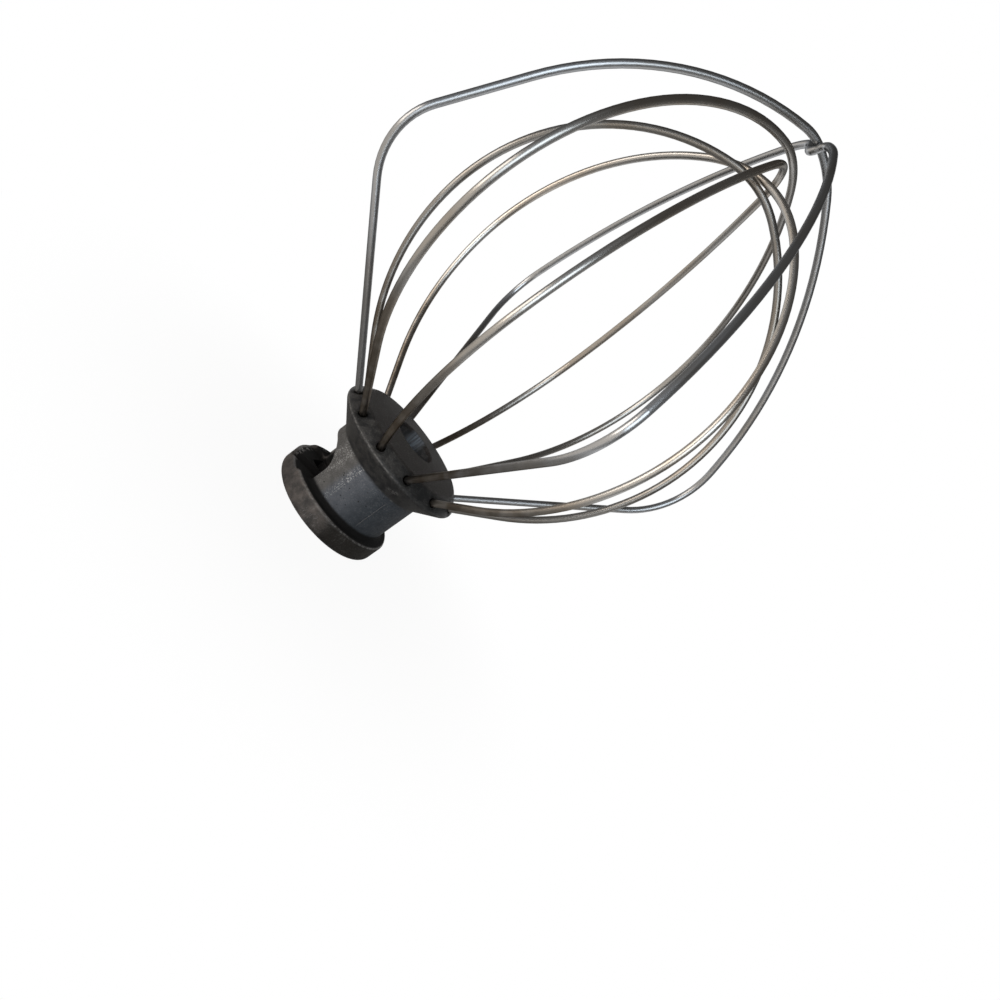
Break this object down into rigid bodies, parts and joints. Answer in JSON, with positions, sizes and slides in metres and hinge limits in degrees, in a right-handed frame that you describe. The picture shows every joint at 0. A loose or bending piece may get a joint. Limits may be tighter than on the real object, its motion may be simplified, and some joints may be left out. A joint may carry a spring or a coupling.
{
  "type": "stand mixer wire whisk",
  "caption": "Balloon wire whisk for a stand mixer: bent steel wire loops held in a dark cast hub whose bayonet socket hooks onto the mixer's drive shaft.",
  "frame": {"origin": "centre of the hub's bottom face, on the whisk's axis; the whisk stands on this face", "axes": "+Z along the axis from the socket to the tip of the cage; +X in the plane of the outermost wire"},
  "size_m": [0.1224, 0.1196, 0.1509],
  "materials": {
    "cast_hub": "dark oxidised casting, worn bright on the edges",
    "wire": "satin drawn stainless wire"
  },
  "bodies": {
    "root": {"hub": "cast_hub", "outer_wire": "wire", "notched_wire": "wire", "inner_wire_1": "wire", "inner_wire_2": "wire", "inner_wire_3": "wire", "inner_wire_4": "wire"}
  },
  "joints": []
}
